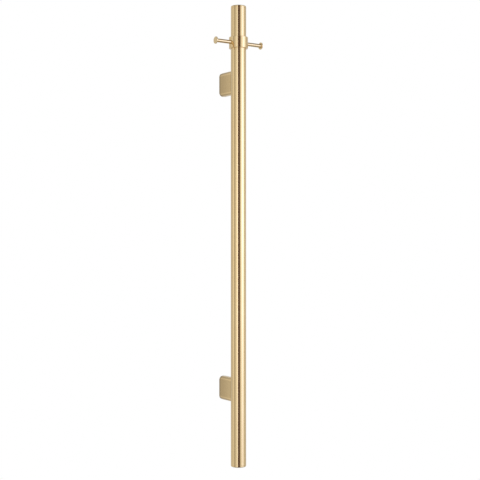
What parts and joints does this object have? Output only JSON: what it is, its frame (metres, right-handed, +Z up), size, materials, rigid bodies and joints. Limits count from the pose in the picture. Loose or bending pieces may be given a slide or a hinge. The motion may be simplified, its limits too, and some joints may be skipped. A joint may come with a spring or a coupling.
{
  "type": "towel warmer rack",
  "caption": "Slim vertical heated towel rail: one round brushed-brass tube held off the wall by rounded posts, with a sliding, turning collar that carries two pegs.",
  "frame": {"origin": "on the wall plane, midway between the two screw holes of the lower wall plate", "axes": "+Z up along the heated tube, +Y towards the wall, +X to the right of someone facing the wall"},
  "size_m": [0.1438, 0.0977, 1.2],
  "materials": {
    "brushed_brass": "satin, fine brushing",
    "raw_brass": "plain turned",
    "zinc_steel": "zinc plated",
    "stainless_steel": "satin",
    "tinned_copper": "tinned",
    "white_nylon": "matt",
    "natural_ceramic": "matt",
    "grey_plastic": "matt",
    "black_rubber": "matt",
    "red_silicone": "matt",
    "brown_insulation": "satin",
    "blue_insulation": "satin",
    "green_insulation": "satin"
  },
  "bodies": {
    "rail": {"heated_tube": "brushed_brass", "top_end_cap": "brushed_brass", "bottom_end_cap": "brushed_brass", "end_cap_seals": "black_rubber", "upper_post": "brushed_brass", "lower_post": "brushed_brass", "upper_wall_plate": "brushed_brass", "lower_wall_plate": "brushed_brass", "upper_nut_plate": "zinc_steel", "lower_nut_plate": "zinc_steel", "post_screws": "zinc_steel", "post_grub_screws": "stainless_steel", "wire_grommet": "black_rubber", "cable_grommet": "black_rubber", "heating_element": "red_silicone", "element_spacers": "natural_ceramic", "splice_sleeves": "tinned_copper", "thermal_cutout": "natural_ceramic", "cutout_tie": "stainless_steel", "cutout_lead": "brown_insulation", "live_lead": "brown_insulation", "neutral_lead": "blue_insulation", "terminal_block": "grey_plastic", "terminal_poles": "raw_brass", "clamp_screws": "zinc_steel", "earth_tag": "tinned_copper", "earth_lead": "green_insulation"},
    "collar_slider": {"collar_liner": "white_nylon"},
    "hook_ring": {"hook_collar": "brushed_brass", "collar_grub_screw": "stainless_steel", "right_peg": "brushed_brass", "left_peg": "brushed_brass"}
  },
  "joints": [
    {"name": "collar_slide", "type": "slide", "parent": "rail", "child": "collar_slider", "axis": [0, 0, 1], "range_m": [-0.054, 0.075]},
    {"name": "collar_turn", "type": "hinge", "parent": "collar_slider", "child": "hook_ring", "pos_m": [0, -0.073, 0.907], "axis": [0, 0, 1], "continuous": true}
  ]
}
